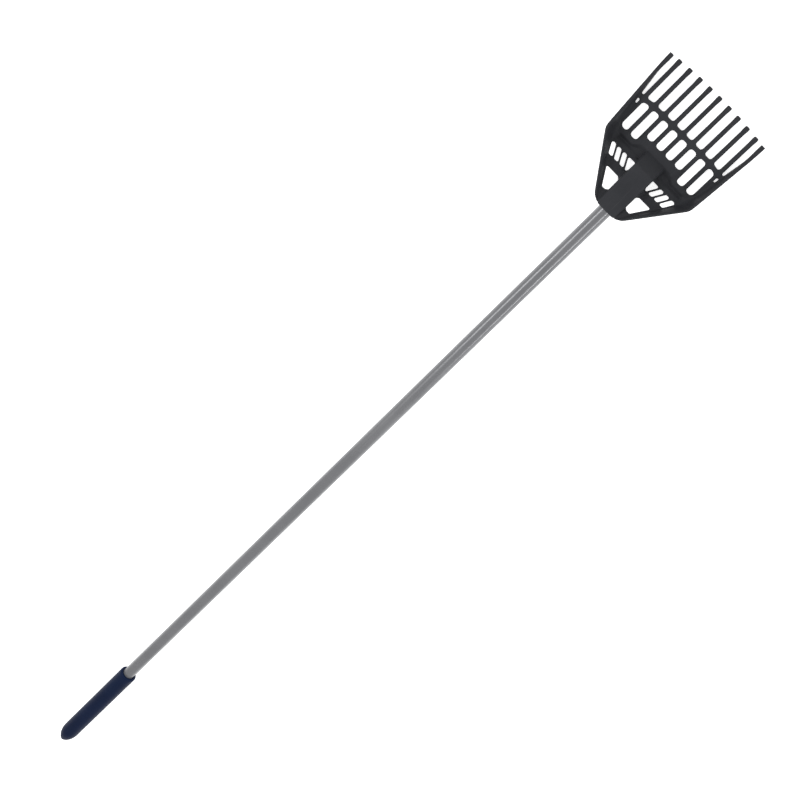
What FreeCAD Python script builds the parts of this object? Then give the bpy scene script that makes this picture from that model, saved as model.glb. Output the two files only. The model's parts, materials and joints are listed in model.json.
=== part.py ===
"""Long-handled sifting scoop: a moulded head, a tubular pole, a vinyl grip, a fixing screw and an end plug.

The tool lies on the ground with its hollow side up. +X runs along the pole towards the tine tips, +Y is
to the left when looking towards the tips, and +Z is up. The origin is on the ground, half way along the
whole tool. The head is drawn from its heel fold, the line where the level floor meets the rising back.
"""
import FreeCAD, Part
import os

import Sketcher

DOC = FreeCAD.newDocument("sifting_scoop")

# Driving dimensions, in millimetres. The two slat shares are plain ratios.
DIMENSIONS = [
    ("overall_length", 1472.0),
    ("heel_setback", 113.7),
    ("tine_pitch", 16.1),
    ("tine_width", 5.8),
    ("tine_height", 7.0),
    ("tine_length", 57.9),
    ("tip_bow", 4.9),
    ("outer_tine_offset", 77.3),
    ("outer_tine_width", 4.8),
    ("crossbar_width", 6.0),
    ("crossbar_height", 8.0),
    ("crossbar_droop", 2.2),
    ("outer_slot_length", 39.9),
    ("inner_slot_length", 28.4),
    ("slit_length", 11.0),
    ("pan_thickness", 4.0),
    ("wall_setback", 27.4),
    ("wall_start_offset", 75.0),
    ("wall_thickness", 3.0),
    ("heel_half_width", 62.8),
    ("heel_flare", 7.0),
    ("rim_height", 30.0),
    ("shoulder_length", 65.5),
    ("shoulder_gap", 2.0),
    ("shoulder_flare", 4.1),
    ("back_length", 71.8),
    ("slat_band_start", 9.0),
    ("slat_band_length", 13.6),
    ("slat_width", 2.8),
    ("slat_pitch_share", 0.2375),
    ("slat_lean_share", 0.865),
    ("window_margin", 1.2),
    ("crossrib_width", 10.9),
    ("triangle_length", 20.8),
    ("socket_width", 30.8),
    ("socket_top", 27.5),
    ("socket_ramp_start", 9.4),
    ("socket_ramp_end", 26.9),
    ("socket_depth", 62.0),
    ("socket_edge_radius", 2.5),
    ("pole_diameter", 19.0),
    ("pole_wall", 1.4),
    ("pole_clearance", 0.1),
    ("grip_diameter", 28.3),
    ("grip_length", 210.0),
    ("grip_nose_length", 32.0),
    ("grip_lip_radius", 2.0),
    ("plug_depth", 18.0),
    ("plug_flange", 2.0),
    ("screw_setback", 40.0),
    ("screw_diameter", 4.0),
    ("screw_head_diameter", 8.0),
    ("screw_head_height", 2.4),
]

INNER_TINES = range(-4, 5)
INNER_RIBS = range(-3, 4)
SHORT_SLOT_RIBS = range(-2, 3)
SLATS_PER_SIDE = 3
LEFT = 1
RIGHT = -1


def make_sheet():
    """Put every driving dimension in a spreadsheet cell with its own alias."""
    sheet = DOC.addObject("Spreadsheet::Sheet", "Sizes")
    for row, (name, value) in enumerate(DIMENSIONS, start=1):
        sheet.set("A%d" % row, name)
        sheet.set("B%d" % row, str(value))
        sheet.setAlias("B%d" % row, name)
    DOC.recompute()
    return sheet


SHEET = make_sheet()


def size(name):
    """Return the expression that reads one cell of the sheet."""
    return "Sizes." + name


def number(expression):
    """Work out an expression of the sheet's cells as a plain number."""
    return float(SHEET.evalExpression(expression))


# Stations along the head, measured forwards from the heel fold.
TIP_X = size("heel_setback")
CROSSBAR_FRONT_X = "(Sizes.heel_setback - Sizes.tine_length)"
CROSSBAR_BACK_X = "(%s - Sizes.crossbar_width)" % CROSSBAR_FRONT_X
CROSSBAR_MIDDLE_X = "(%s - Sizes.crossbar_width / 2)" % CROSSBAR_FRONT_X
PAN_EDGE_X = "(%s - Sizes.outer_slot_length)" % CROSSBAR_BACK_X
APRON_EDGE_X = "(%s - Sizes.inner_slot_length)" % CROSSBAR_BACK_X
STRIP_EDGE_X = "(%s - Sizes.slit_length)" % CROSSBAR_BACK_X
WALL_START_X = "(Sizes.heel_setback - Sizes.wall_setback)"
SHOULDER_X = "(-Sizes.shoulder_length)"
NECK_X = "(-Sizes.back_length)"

# Places shared by several pieces.
HEEL_X = "(Sizes.overall_length / 2 - Sizes.heel_setback)"
AXIS_Z = "(Sizes.grip_diameter / 2)"
GRIP_END_X = "(-Sizes.overall_length / 2)"
SOCKET_BOTTOM_X = "(%s + %s + Sizes.socket_depth)" % (HEEL_X, NECK_X)
SOCKET_SIDE_Y = "(Sizes.socket_width / 2)"
WALL_SEAT = "Sizes.wall_thickness / 2"
SHOULDER_Y = "(%s + Sizes.shoulder_gap)" % SOCKET_SIDE_Y
BACK_RISE = "((Sizes.socket_top - Sizes.pan_thickness) / Sizes.back_length)"
BACK_SPREAD = "((Sizes.heel_half_width - %s) / Sizes.shoulder_length)" % SHOULDER_Y
WALL_SPREAD = "((Sizes.wall_start_offset - Sizes.heel_half_width) / %s)" % WALL_START_X


def foot_y(station):
    """Return the expression of the side wall's inner foot at a station of the floor."""
    return "(Sizes.heel_half_width + %s * %s)" % (WALL_SPREAD, station)


def back_foot_y(station):
    """Return the expression of the side wall's inner foot at a station of the rising back."""
    return "(Sizes.heel_half_width + %s * %s)" % (BACK_SPREAD, station)


def signed(side, expression):
    """Put an expression on the left or on the right of the middle."""
    return "(%d * %s)" % (side, expression)


def origin_plane(body, role):
    """Find one of a body's own origin planes by its role."""
    for feature in body.Origin.OriginFeatures:
        if feature.Role == role:
            return feature
    raise ValueError(role)


def make_body(name, at_heel=True):
    """Start a body. The head's bodies stand at the heel fold."""
    body = DOC.addObject("PartDesign::Body", name)
    if at_heel:
        body.setExpression("Placement.Base.x", HEEL_X)
    return body


def make_sketch(body, role, name, offset=None):
    """Attach a sketch to one of the body's origin planes, moved along its normal by an expression."""
    sketch = body.newObject("Sketcher::SketchObject", name)
    sketch.AttachmentSupport = [(origin_plane(body, role), "")]
    sketch.MapMode = "FlatFace"
    if offset:
        sketch.setExpression("AttachmentOffset.Base.z", offset)
    return sketch


def draw_loop(sketch, corners):
    """Draw a closed loop of straight sides whose corners are pairs of expressions."""
    first = sketch.GeometryCount
    count = len(corners)
    places = [FreeCAD.Vector(number(across), number(up), 0) for across, up in corners]
    for index in range(count):
        sketch.addGeometry(Part.LineSegment(places[index], places[(index + 1) % count]), False)
    for index in range(count):
        follower = first + (index + 1) % count
        sketch.addConstraint(Sketcher.Constraint("Coincident", first + index, 2, follower, 1))
    for index, (across, up) in enumerate(corners):
        for kind, value, rule in (("DistanceX", places[index].x, across), ("DistanceY", places[index].y, up)):
            number_of = sketch.addConstraint(Sketcher.Constraint(kind, first + index, 1, value))
            sketch.setExpression("Constraints[%d]" % number_of, rule)


def draw_circle(sketch, centre, radius):
    """Draw a circle whose centre and radius are expressions."""
    middle = FreeCAD.Vector(number(centre[0]), number(centre[1]), 0)
    index = sketch.addGeometry(Part.Circle(middle, FreeCAD.Vector(0, 0, 1), number(radius)), False)
    for kind, value, rule in (("DistanceX", middle.x, centre[0]), ("DistanceY", middle.y, centre[1])):
        number_of = sketch.addConstraint(Sketcher.Constraint(kind, index, 3, value))
        sketch.setExpression("Constraints[%d]" % number_of, rule)
    number_of = sketch.addConstraint(Sketcher.Constraint("Radius", index, number(radius)))
    sketch.setExpression("Constraints[%d]" % number_of, radius)


def pad(body, sketch, length, midplane=False):
    """Raise a sketch by an expression, on one side or equally on both."""
    feature = body.newObject("PartDesign::Pad", sketch.Name + "_pad")
    feature.Profile = sketch
    feature.SideType = "Symmetric" if midplane else "One side"
    feature.setExpression("Length", length)
    body.Tip = feature
    DOC.recompute()
    return feature


def pocket(body, sketch, length=None, midplane=False, reverse=False):
    """Cut a sketch out of the body, right through unless a depth is given, and check that it cuts."""
    before = body.Shape.Volume
    feature = body.newObject("PartDesign::Pocket", sketch.Name + "_pocket")
    feature.Profile = sketch
    feature.SideType = "Symmetric" if midplane else "One side"
    feature.Reversed = reverse
    if length:
        feature.setExpression("Length", length)
    else:
        feature.Type = "ThroughAll"
    body.Tip = feature
    DOC.recompute()
    if body.Shape.Volume >= before:
        raise RuntimeError(sketch.Name + " cuts nothing")
    return feature


def fillet(body, feature, chosen, radius):
    """Round the edges of a feature that a test picks."""
    names = ["Edge%d" % (index + 1) for index, edge in enumerate(feature.Shape.Edges) if chosen(edge)]
    if not names:
        raise RuntimeError(feature.Name + " has no such edge")
    rounding = body.newObject("PartDesign::Fillet", feature.Name + "_fillet")
    rounding.Base = (feature, names)
    rounding.setExpression("Radius", radius)
    body.Tip = rounding
    DOC.recompute()
    return rounding


def cut(name, base, tools):
    """Take other solids away from a base, one after another, and name the result."""
    result = base
    for index, tool in enumerate(tools):
        step = DOC.addObject("Part::Cut", "%s_cut_%d" % (name, index + 1))
        step.Base = result
        step.Tool = tool
        result = step
    DOC.recompute()
    return result


def make_side_wall(side):
    """Loft one flared wall: outer tine's root, heel corner, shoulder and neck."""
    body = make_body("side_wall_" + ("left" if side == LEFT else "right"))
    thick = size("wall_thickness")
    shoulder_bottom = "(%s * Sizes.shoulder_length)" % BACK_RISE
    neck_bottom = "(%s * Sizes.back_length)" % BACK_RISE
    neck_top = "(Sizes.socket_top + Sizes.wall_thickness / 3)"
    neck_out = "(%s + %s)" % (SOCKET_SIDE_Y, WALL_SEAT)
    root_top = size("tine_height")
    root_out = "(Sizes.wall_start_offset + Sizes.outer_tine_width)"
    heel_in = size("heel_half_width")
    heel_rim = "(Sizes.heel_half_width + Sizes.heel_flare)"
    shoulder_rim = "(%s + Sizes.shoulder_flare)" % SHOULDER_Y
    stations = [
        ("root", WALL_START_X, (size("wall_start_offset"), "0"), (root_out, "0"),
         (root_out, root_top), (size("wall_start_offset"), root_top)),
        ("heel", "0", (heel_in, "0"), ("(%s + %s)" % (heel_in, thick), "0"),
         ("(%s + %s)" % (heel_rim, thick), size("rim_height")), (heel_rim, size("rim_height"))),
        ("shoulder", SHOULDER_X, (SHOULDER_Y, shoulder_bottom),
         ("(%s + %s)" % (SHOULDER_Y, thick), shoulder_bottom),
         ("(%s + %s)" % (shoulder_rim, thick), size("rim_height")), (shoulder_rim, size("rim_height"))),
        ("neck", NECK_X, (SOCKET_SIDE_Y, neck_bottom), (neck_out, neck_bottom),
         (neck_out, neck_top), (SOCKET_SIDE_Y, neck_top)),
    ]
    sections = []
    for title, station, *corners in stations:
        sketch = make_sketch(body, "YZ_Plane", body.Name + "_" + title, station)
        draw_loop(sketch, [(signed(side, across), up) for across, up in corners])
        sections.append(sketch)
    loft = body.newObject("PartDesign::AdditiveLoft", body.Name + "_loft")
    loft.Profile = sections[0]
    loft.Sections = sections[1:]
    loft.Ruled = True
    body.Tip = loft
    DOC.recompute()
    return body


def make_socket():
    """Build the pole socket: a flat-topped housing that ramps down to the floor, with a blind bore."""
    body = make_body("socket")
    ramp_x = "(%s - Sizes.socket_ramp_start)" % APRON_EDGE_X
    top_x = "(%s - Sizes.socket_ramp_end)" % APRON_EDGE_X
    profile = make_sketch(body, "XZ_Plane", "socket_profile")
    draw_loop(profile, [
        (NECK_X, "0"),
        (ramp_x, "0"),
        (ramp_x, size("pan_thickness")),
        (top_x, size("socket_top")),
        (NECK_X, size("socket_top")),
    ])
    block = pad(body, profile, size("socket_width"), midplane=True)
    top = number(size("socket_top"))
    half = number(SOCKET_SIDE_Y)

    def top_side(edge):
        """Tell whether an edge runs along a side of the housing above the ground."""
        heights = [vertex.Z for vertex in edge.Vertexes]
        offsets = [abs(vertex.Y) for vertex in edge.Vertexes]
        return min(offsets) > half - 1e-6 and max(heights) > top - 1e-6 and edge.Length > top / 2

    rounded = fillet(body, block, top_side, size("socket_edge_radius"))
    body.Tip = rounded
    bore = make_sketch(body, "YZ_Plane", "socket_bore", NECK_X)
    draw_circle(bore, ("0", AXIS_Z), "(Sizes.pole_diameter / 2 + Sizes.pole_clearance)")
    pocket(body, bore, size("socket_depth"), reverse=True)
    screw_x = "(%s + Sizes.screw_setback)" % NECK_X
    head = make_sketch(body, "XY_Plane", "screw_recess")
    draw_circle(head, (screw_x, "0"), "(Sizes.screw_head_diameter / 2)")
    pocket(body, head, size("screw_head_height"), reverse=True)
    shank = make_sketch(body, "XY_Plane", "screw_hole")
    draw_circle(shank, (screw_x, "0"), "(Sizes.screw_diameter / 2)")
    pocket(body, shank, AXIS_Z, reverse=True)
    return body


def make_crossbar(walls):
    """Build the bar that ties the tines together; its ends droop back to the side walls."""
    body = make_body("crossbar_blank")
    straight = "(3 * Sizes.tine_pitch)"
    bend = "(4 * Sizes.tine_pitch)"
    end = "(%s + %s)" % (foot_y(CROSSBAR_BACK_X), WALL_SEAT)
    front = [
        (CROSSBAR_FRONT_X, straight),
        ("(%s - Sizes.crossbar_droop)" % CROSSBAR_FRONT_X, bend),
        ("(%s - Sizes.crossbar_droop)" % CROSSBAR_FRONT_X, end),
    ]
    back = [("(%s - Sizes.crossbar_width)" % along, across) for along, across in front]
    half = front + back[::-1]
    other_half = [(along, signed(RIGHT, across)) for along, across in half]
    sketch = make_sketch(body, "XY_Plane", "crossbar_outline")
    draw_loop(sketch, half + other_half[::-1])
    pad(body, sketch, size("crossbar_height"))
    return cut("crossbar", body, walls)


def make_floor_pan(walls, socket):
    """Build the solid heel of the floor, with the apron in front of the socket."""
    body = make_body("floor_pan_blank")
    apron = "(2 * Sizes.tine_pitch + Sizes.tine_width / 2)"
    half = [
        (APRON_EDGE_X, apron),
        (PAN_EDGE_X, apron),
        (PAN_EDGE_X, "(%s + %s)" % (foot_y(PAN_EDGE_X), WALL_SEAT)),
        ("0", "(Sizes.heel_half_width + %s)" % WALL_SEAT),
    ]
    other_half = [(along, signed(RIGHT, across)) for along, across in half]
    sketch = make_sketch(body, "XY_Plane", "floor_pan_outline")
    draw_loop(sketch, half + other_half[::-1])
    pad(body, sketch, size("pan_thickness"))
    return cut("floor_pan", body, [socket] + walls)


def window_loops(side):
    """List the window outlines of one back plate: a band of slanted slots and a triangle."""
    band_front = "(-Sizes.slat_band_start)"
    band_back = "(%s - Sizes.slat_band_length)" % band_front
    triangle_front = "(%s - Sizes.crossrib_width)" % band_back
    triangle_back = "(%s - Sizes.triangle_length)" % triangle_front
    inner = SOCKET_SIDE_Y

    def outer(station):
        """Return the outer limit of the windows at a station."""
        return "(%s - Sizes.window_margin)" % back_foot_y(station)

    def slant(offset, station):
        """Lean an offset inwards towards the neck."""
        return "(%s + Sizes.slat_lean_share * %s * (%s - %s))" % (offset, BACK_SPREAD, station, band_front)

    pitch = "(Sizes.slat_pitch_share * (%s - %s))" % (outer(band_front), inner)
    loops = []
    for slot in range(SLATS_PER_SIDE + 1):
        outer_side = "(%s - %d * %s)" % (outer(band_front), slot, pitch)
        inner_side = "(%s - %d * %s + Sizes.slat_width)" % (outer(band_front), slot + 1, pitch)
        corners = [
            (band_front, outer_side),
            (band_back, slant(outer_side, band_back)),
            (band_back, slant(inner_side, band_back)),
            (band_front, inner_side),
        ]
        if slot == SLATS_PER_SIDE:
            gusset = "(%s + Sizes.slat_band_length / 4)" % band_back
            corner = "((%s + %s) / 2)" % (slant(outer_side, band_back), inner)
            corners[2:] = [(band_back, corner), (gusset, inner), (band_front, inner)]
        loops.append(corners)
    gusset = "(%s - Sizes.triangle_length / 8)" % triangle_front
    toe = "(%s + Sizes.triangle_length / 8)" % triangle_back
    loops.append([
        (triangle_front, outer(triangle_front)),
        (triangle_back, outer(triangle_back)),
        (triangle_back, "(%s + Sizes.slat_width)" % inner),
        (toe, inner),
        (gusset, inner),
        (triangle_front, "(%s + Sizes.slat_width)" % inner),
    ])
    return [[(along, signed(side, across)) for along, across in loop] for loop in loops]


def make_back_plate(side, walls, socket):
    """Build one half of the rising back, with its windows cut straight down."""
    name = "back_plate_" + ("left" if side == LEFT else "right")
    body = make_body(name + "_blank")
    outline = make_sketch(body, "XY_Plane", name + "_outline")
    draw_loop(outline, [
        ("0", signed(side, SOCKET_SIDE_Y)),
        ("0", signed(side, "(Sizes.heel_half_width + %s)" % WALL_SEAT)),
        (SHOULDER_X, signed(side, "(%s + %s)" % (SHOULDER_Y, WALL_SEAT))),
        (NECK_X, signed(side, "(%s + %s)" % (SOCKET_SIDE_Y, WALL_SEAT))),
        (NECK_X, signed(side, SOCKET_SIDE_Y)),
    ])
    pad(body, outline, size("rim_height"))
    for index, loop in enumerate(window_loops(side)):
        window = make_sketch(body, "XY_Plane", "%s_window_%d" % (name, index + 1))
        draw_loop(window, loop)
        pocket(body, window, reverse=True)
    overlap = "Sizes.pan_thickness"
    above = make_sketch(body, "XZ_Plane", name + "_above")
    high = "(Sizes.rim_height + %s)" % overlap
    behind = "(%s - %s)" % (NECK_X, overlap)
    draw_loop(above, [
        (overlap, "(Sizes.pan_thickness - %s * %s)" % (BACK_RISE, overlap)),
        (overlap, high),
        (behind, high),
        (behind, "(Sizes.pan_thickness - %s * %s)" % (BACK_RISE, behind)),
    ])
    pocket(body, above, midplane=True)
    below = make_sketch(body, "XZ_Plane", name + "_below")
    draw_loop(below, [
        ("0", "0"),
        ("0", "(-%s)" % overlap),
        (behind, "(-%s)" % overlap),
        (behind, "(%s * (-%s))" % (BACK_RISE, behind)),
    ])
    pocket(body, below, midplane=True)
    return cut(name, body, walls + [socket])


def make_bar(name, start, end, across, crossbar):
    """Build one straight bar of the comb and stop it at the crossbar."""
    bar = DOC.addObject("Part::Box", name + "_blank")
    bar.setExpression("Length", "%s - %s" % (end, start))
    bar.setExpression("Width", size("tine_width"))
    bar.setExpression("Height", size("tine_height"))
    bar.setExpression("Placement.Base.x", "%s + %s" % (HEEL_X, start))
    bar.setExpression("Placement.Base.y", "%s - Sizes.tine_width / 2" % across)
    return cut(name, bar, [crossbar])


def tine_tip_x(index):
    """Return the expression of a tine's tip: the tips lie on a shallow bow."""
    return "(%s - Sizes.tip_bow * %d / 25)" % (TIP_X, index * index)


def make_tines(crossbar):
    """Build the inner tines, numbered from right to left after the outer right one."""
    tines = {}
    for index in INNER_TINES:
        name = "tine_%02d" % (index + 6)
        across = "(%d * Sizes.tine_pitch)" % index
        tines[name] = make_bar(name, CROSSBAR_MIDDLE_X, tine_tip_x(index), across, crossbar)
    return tines


def make_outer_tine(side):
    """Build an outer tine, from its tip to where it grows into the side wall."""
    name = "tine_11" if side == LEFT else "tine_01"
    body = make_body(name)
    tip = tine_tip_x(5)
    width = size("outer_tine_width")
    tip_in = "(Sizes.outer_tine_offset - Sizes.outer_tine_width / 2)"
    sketch = make_sketch(body, "XY_Plane", name + "_outline")
    draw_loop(sketch, [
        (WALL_START_X, signed(side, size("wall_start_offset"))),
        (WALL_START_X, signed(side, "(Sizes.wall_start_offset + %s)" % width)),
        (tip, signed(side, "(%s + %s)" % (tip_in, width))),
        (tip, signed(side, tip_in)),
    ])
    pad(body, sketch, size("tine_height"))
    return body


def make_ribs(crossbar):
    """Build the inner sifting ribs between the crossbar and the solid heel."""
    ribs = {}
    for index in INNER_RIBS:
        name = "rib_%02d" % (index + 5)
        start = APRON_EDGE_X if index in SHORT_SLOT_RIBS else PAN_EDGE_X
        across = "(%d * Sizes.tine_pitch)" % index
        ribs[name] = make_bar(name, start, CROSSBAR_MIDDLE_X, across, crossbar)
    return ribs


def make_edge_rib(side, wall, crossbar):
    """Build the outermost rib, which leaves a short slit at the crossbar and then runs into the wall."""
    name = "rib_09" if side == LEFT else "rib_01"
    body = make_body(name + "_blank")
    inner = "(4 * Sizes.tine_pitch - Sizes.tine_width / 2)"
    outer = "(4 * Sizes.tine_pitch + Sizes.tine_width / 2)"
    sketch = make_sketch(body, "XY_Plane", name + "_outline")
    draw_loop(sketch, [
        (PAN_EDGE_X, signed(side, inner)),
        (CROSSBAR_MIDDLE_X, signed(side, inner)),
        (CROSSBAR_MIDDLE_X, signed(side, outer)),
        (STRIP_EDGE_X, signed(side, outer)),
        (STRIP_EDGE_X, signed(side, "(%s + %s)" % (foot_y(STRIP_EDGE_X), WALL_SEAT))),
        (PAN_EDGE_X, signed(side, "(%s + %s)" % (foot_y(PAN_EDGE_X), WALL_SEAT))),
    ])
    pad(body, sketch, size("tine_height"))
    return cut(name, body, [wall, crossbar])


def make_turned(name, start, corners):
    """Turn a half outline about the pole's axis; the body stands on the axis at a station."""
    body = make_body(name, at_heel=False)
    body.setExpression("Placement.Base.x", start)
    body.setExpression("Placement.Base.z", AXIS_Z)
    sketch = make_sketch(body, "XZ_Plane", name + "_outline")
    draw_loop(sketch, corners)
    turned = body.newObject("PartDesign::Revolution", name + "_turn")
    turned.Profile = sketch
    turned.ReferenceAxis = (sketch, ["H_Axis"])
    turned.Angle = 360
    body.Tip = turned
    DOC.recompute()
    return body


def make_pole():
    """Build the tube, from the bottom of the socket to the closed end of the grip."""
    length = "(%s - %s - Sizes.grip_nose_length - Sizes.plug_flange)" % (SOCKET_BOTTOM_X, GRIP_END_X)
    outer = "(Sizes.pole_diameter / 2)"
    inner = "(Sizes.pole_diameter / 2 - Sizes.pole_wall)"
    start = "(%s + Sizes.grip_nose_length + Sizes.plug_flange)" % GRIP_END_X
    tube = make_turned("pole_blank", start, [("0", inner), (length, inner), (length, outer), ("0", outer)])
    hole = DOC.addObject("Part::Cylinder", "pole_screw_hole")
    hole.setExpression("Radius", "Sizes.screw_diameter / 2")
    hole.setExpression("Height", AXIS_Z)
    hole.setExpression("Placement.Base.x", "%s + %s + Sizes.screw_setback" % (HEEL_X, NECK_X))
    return cut("pole", tube, [hole])


def make_plug():
    """Build the end plug: a flange against the tube's end and a spigot inside it."""
    inner = "(Sizes.pole_diameter / 2 - Sizes.pole_wall)"
    start = "(%s + Sizes.grip_nose_length)" % GRIP_END_X
    outline = [
        ("0", "0"),
        ("(Sizes.plug_flange + Sizes.plug_depth)", "0"),
        ("(Sizes.plug_flange + Sizes.plug_depth)", inner),
        (size("plug_flange"), inner),
        (size("plug_flange"), "(Sizes.pole_diameter / 2)"),
        ("0", "(Sizes.pole_diameter / 2)"),
    ]
    return make_turned("pole_plug", start, outline)


def make_screw():
    """Build the self-tapping screw that holds the pole in the socket."""
    body = make_body("socket_screw", at_heel=False)
    body.setExpression("Placement.Base.x", "%s + %s + Sizes.screw_setback" % (HEEL_X, NECK_X))
    head = make_sketch(body, "XY_Plane", "screw_head")
    draw_circle(head, ("0", "0"), "(Sizes.screw_head_diameter / 2)")
    pad(body, head, size("screw_head_height"))
    shank = make_sketch(body, "XY_Plane", "screw_shank")
    draw_circle(shank, ("0", "0"), "(Sizes.screw_diameter / 2)")
    pad(body, shank, "(%s - Sizes.pole_diameter / 4)" % AXIS_Z)
    return body


def make_grip():
    """Build the vinyl grip: a sleeve with a rounded mouth and a closed, bullet-shaped end."""
    body = make_body("grip", at_heel=False)
    body.setExpression("Placement.Base.x", GRIP_END_X)
    body.setExpression("Placement.Base.z", AXIS_Z)
    sketch = make_sketch(body, "XZ_Plane", "grip_outline")
    nose = number(size("grip_nose_length"))
    radius = number("Sizes.grip_diameter / 2")
    length = number(size("grip_length"))
    bore = number("Sizes.pole_diameter / 2")
    swing = (nose * nose + radius * radius) / (2 * radius)
    centre = FreeCAD.Vector(nose, radius - swing, 0)
    start = FreeCAD.Vector(0, 0, 0)
    shoulder = FreeCAD.Vector(nose, radius, 0)
    middle_point = start + (shoulder - start) * 0.5
    outward = (middle_point - centre).normalize()
    points = [
        shoulder,
        FreeCAD.Vector(length, radius, 0),
        FreeCAD.Vector(length, bore, 0),
        FreeCAD.Vector(nose, bore, 0),
        FreeCAD.Vector(nose, 0, 0),
        start,
    ]
    for first, second in zip(points, points[1:]):
        sketch.addGeometry(Part.LineSegment(first, second), False)
    nose_arc = Part.Arc(start, centre + outward * swing, shoulder)
    arc = sketch.addGeometry(nose_arc, False)
    sides = len(points) - 1
    for index in range(sides - 1):
        sketch.addConstraint(Sketcher.Constraint("Coincident", index, 2, index + 1, 1))
    arc_ends = ((1, start), (2, shoulder))
    arc_start = min(arc_ends, key=lambda pair: (sketch.getPoint(arc, pair[0]) - start).Length)[0]
    arc_finish = 3 - arc_start
    sketch.addConstraint(Sketcher.Constraint("Coincident", sides - 1, 2, arc, arc_start))
    sketch.addConstraint(Sketcher.Constraint("Coincident", 0, 1, arc, arc_finish))
    corner_rules = [
        (0, 1, size("grip_nose_length"), "(Sizes.grip_diameter / 2)"),
        (1, 1, size("grip_length"), "(Sizes.grip_diameter / 2)"),
        (2, 1, size("grip_length"), "(Sizes.pole_diameter / 2)"),
        (3, 1, size("grip_nose_length"), "(Sizes.pole_diameter / 2)"),
        (4, 1, size("grip_nose_length"), "0"),
        (4, 2, "0", "0"),
        (arc, 3, size("grip_nose_length"), None),
    ]
    for geometry, point, across, up in corner_rules:
        place = sketch.getPoint(geometry, point)
        number_of = sketch.addConstraint(Sketcher.Constraint("DistanceX", geometry, point, place.x))
        sketch.setExpression("Constraints[%d]" % number_of, across)
        if up:
            number_of = sketch.addConstraint(Sketcher.Constraint("DistanceY", geometry, point, place.y))
            sketch.setExpression("Constraints[%d]" % number_of, up)
    turned = body.newObject("PartDesign::Revolution", "grip_turn")
    turned.Profile = sketch
    turned.ReferenceAxis = (sketch, ["H_Axis"])
    turned.Angle = 360
    body.Tip = turned
    DOC.recompute()

    def mouth_rim(edge):
        """Tell whether an edge is the outer circle of the mouth."""
        return all(
            abs(vertex.X - length) < 1e-6 and (vertex.Y ** 2 + vertex.Z ** 2) ** 0.5 > bore + 1e-6
            for vertex in edge.Vertexes
        )

    fillet(body, turned, mouth_rim, size("grip_lip_radius"))
    return body


def build_parts():
    """Build every piece and return them by node name."""
    walls = [make_side_wall(LEFT), make_side_wall(RIGHT)]
    socket = make_socket()
    crossbar = make_crossbar(walls)
    parts = {
        "side_wall_left": walls[0],
        "side_wall_right": walls[1],
        "socket": socket,
        "crossbar": crossbar,
        "floor_pan": make_floor_pan(walls, socket),
        "back_plate_left": make_back_plate(LEFT, [walls[0]], socket),
        "back_plate_right": make_back_plate(RIGHT, [walls[1]], socket),
        "tine_01": make_outer_tine(RIGHT),
        "tine_11": make_outer_tine(LEFT),
        "rib_09": make_edge_rib(LEFT, walls[0], crossbar),
        "rib_01": make_edge_rib(RIGHT, walls[1], crossbar),
        "pole": make_pole(),
        "pole_plug": make_plug(),
        "grip": make_grip(),
        "socket_screw": make_screw(),
    }
    parts.update(make_tines(crossbar))
    parts.update(make_ribs(crossbar))
    return parts


def check(parts):
    """Stop if any object failed or any piece has no sound shape."""
    for item in DOC.Objects:
        if "Invalid" in item.State or "Error" in item.State:
            raise RuntimeError("%s: %s" % (item.Name, item.State))
    for name, part in parts.items():
        if part.Shape.isNull() or not part.Shape.isValid() or part.Shape.Volume <= 0:
            raise RuntimeError(name + " has no sound shape")


def main():
    """Build, check and write every piece."""
    parts = build_parts()
    DOC.recompute()
    for name, part in parts.items():
        part.Label = name
    check(parts)
    os.makedirs("parts", exist_ok=True)
    for name, part in parts.items():
        part.Shape.exportStep("parts/%s.step" % name)
        print("%-18s %10.1f mm3  %d solid" % (name, part.Shape.Volume, len(part.Shape.Solids)))


main()
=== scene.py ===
"""Looks for a long-handled sifting scoop: one moulded head, a coated tube, a dipped grip and a screw.

Sizes inside the head are in millimetres from its heel fold, the line where the level floor meets the
rising back: x runs forwards to the tine tips, y to the left and z up. Every mesh is made in metres.
"""
import json
import logging
import math
from dataclasses import dataclass
from enum import Enum

import bmesh
import bpy
import numpy as np
from mathutils import Matrix, Vector

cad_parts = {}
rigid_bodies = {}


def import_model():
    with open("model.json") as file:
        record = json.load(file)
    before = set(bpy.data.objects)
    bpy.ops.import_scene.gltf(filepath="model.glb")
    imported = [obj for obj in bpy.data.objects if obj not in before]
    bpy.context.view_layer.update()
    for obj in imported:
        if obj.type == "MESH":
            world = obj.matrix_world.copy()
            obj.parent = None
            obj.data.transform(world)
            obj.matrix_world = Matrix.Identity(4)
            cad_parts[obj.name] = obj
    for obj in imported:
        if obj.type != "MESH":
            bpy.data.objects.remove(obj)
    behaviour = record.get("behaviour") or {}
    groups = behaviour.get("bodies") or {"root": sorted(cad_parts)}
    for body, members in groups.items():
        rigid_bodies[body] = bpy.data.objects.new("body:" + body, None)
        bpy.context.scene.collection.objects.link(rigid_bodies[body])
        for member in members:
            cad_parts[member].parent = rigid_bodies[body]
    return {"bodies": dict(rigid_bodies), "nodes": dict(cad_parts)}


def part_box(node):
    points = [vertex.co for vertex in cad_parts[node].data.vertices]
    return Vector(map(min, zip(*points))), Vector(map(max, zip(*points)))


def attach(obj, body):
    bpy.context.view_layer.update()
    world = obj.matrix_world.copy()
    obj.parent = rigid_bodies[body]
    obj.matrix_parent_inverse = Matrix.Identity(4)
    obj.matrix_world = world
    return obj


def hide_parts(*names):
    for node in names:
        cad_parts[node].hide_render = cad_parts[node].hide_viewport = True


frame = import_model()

LOG = logging.getLogger("scoop")
MM = 0.001
NEARLY_STRAIGHT = math.radians(88)
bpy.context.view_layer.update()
BODY = next(iter(frame["bodies"]))
LAMP_TARGET = Vector((0.25, 0.0, 0.0))
FLOOR_DROP = 0.0002
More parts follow.
